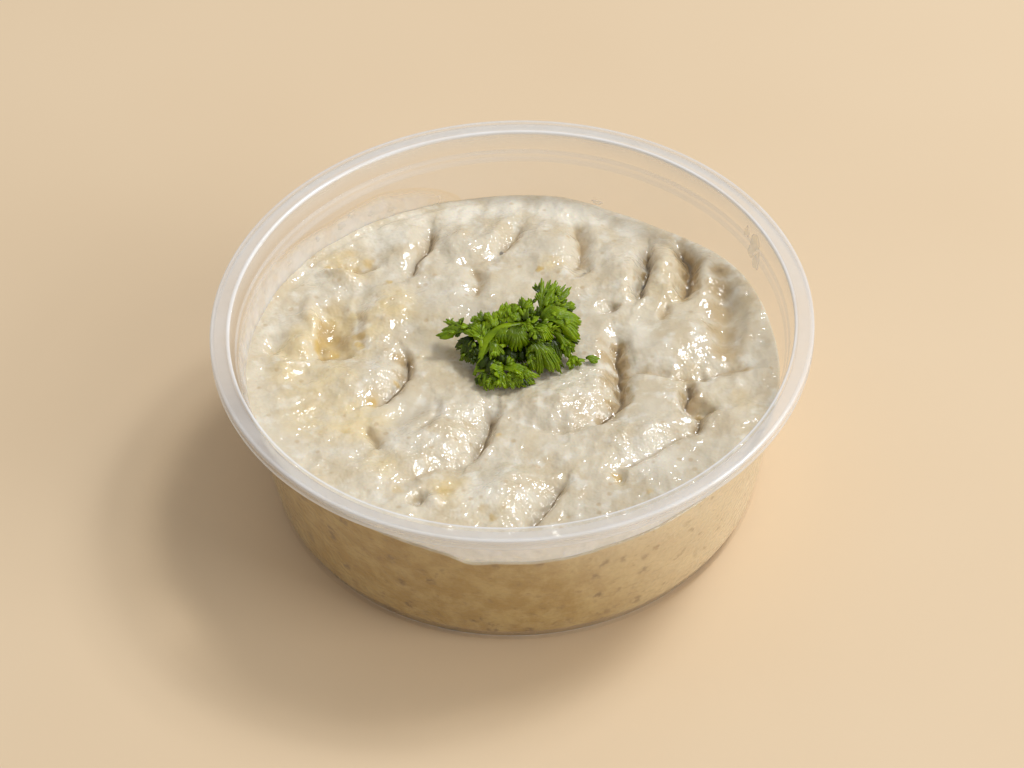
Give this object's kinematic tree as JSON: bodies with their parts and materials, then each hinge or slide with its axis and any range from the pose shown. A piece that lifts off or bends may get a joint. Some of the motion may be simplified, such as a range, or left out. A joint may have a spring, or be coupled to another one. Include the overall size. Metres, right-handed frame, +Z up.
{
  "type": "tub of baba ganoush",
  "caption": "Shallow clear round tub of pale aubergine dip with a spooned uneven surface and a curly parsley sprig on top, open, without its lid.",
  "frame": {"origin": "centre of the circle that the tub stands on", "axes": "+Z up through the mouth of the tub, +Y towards the back, +X to the right as seen from the front"},
  "size_m": [0.118, 0.118, 0.04],
  "materials": {
    "tub_plastic": "clear, slightly milky",
    "dip": "wet, lumpy paste",
    "parsley": "fresh leaf"
  },
  "bodies": {
    "root": {"tub": "tub_plastic", "dip": "dip", "parsley": "parsley", "parsley_scrap": "parsley"}
  },
  "joints": []
}
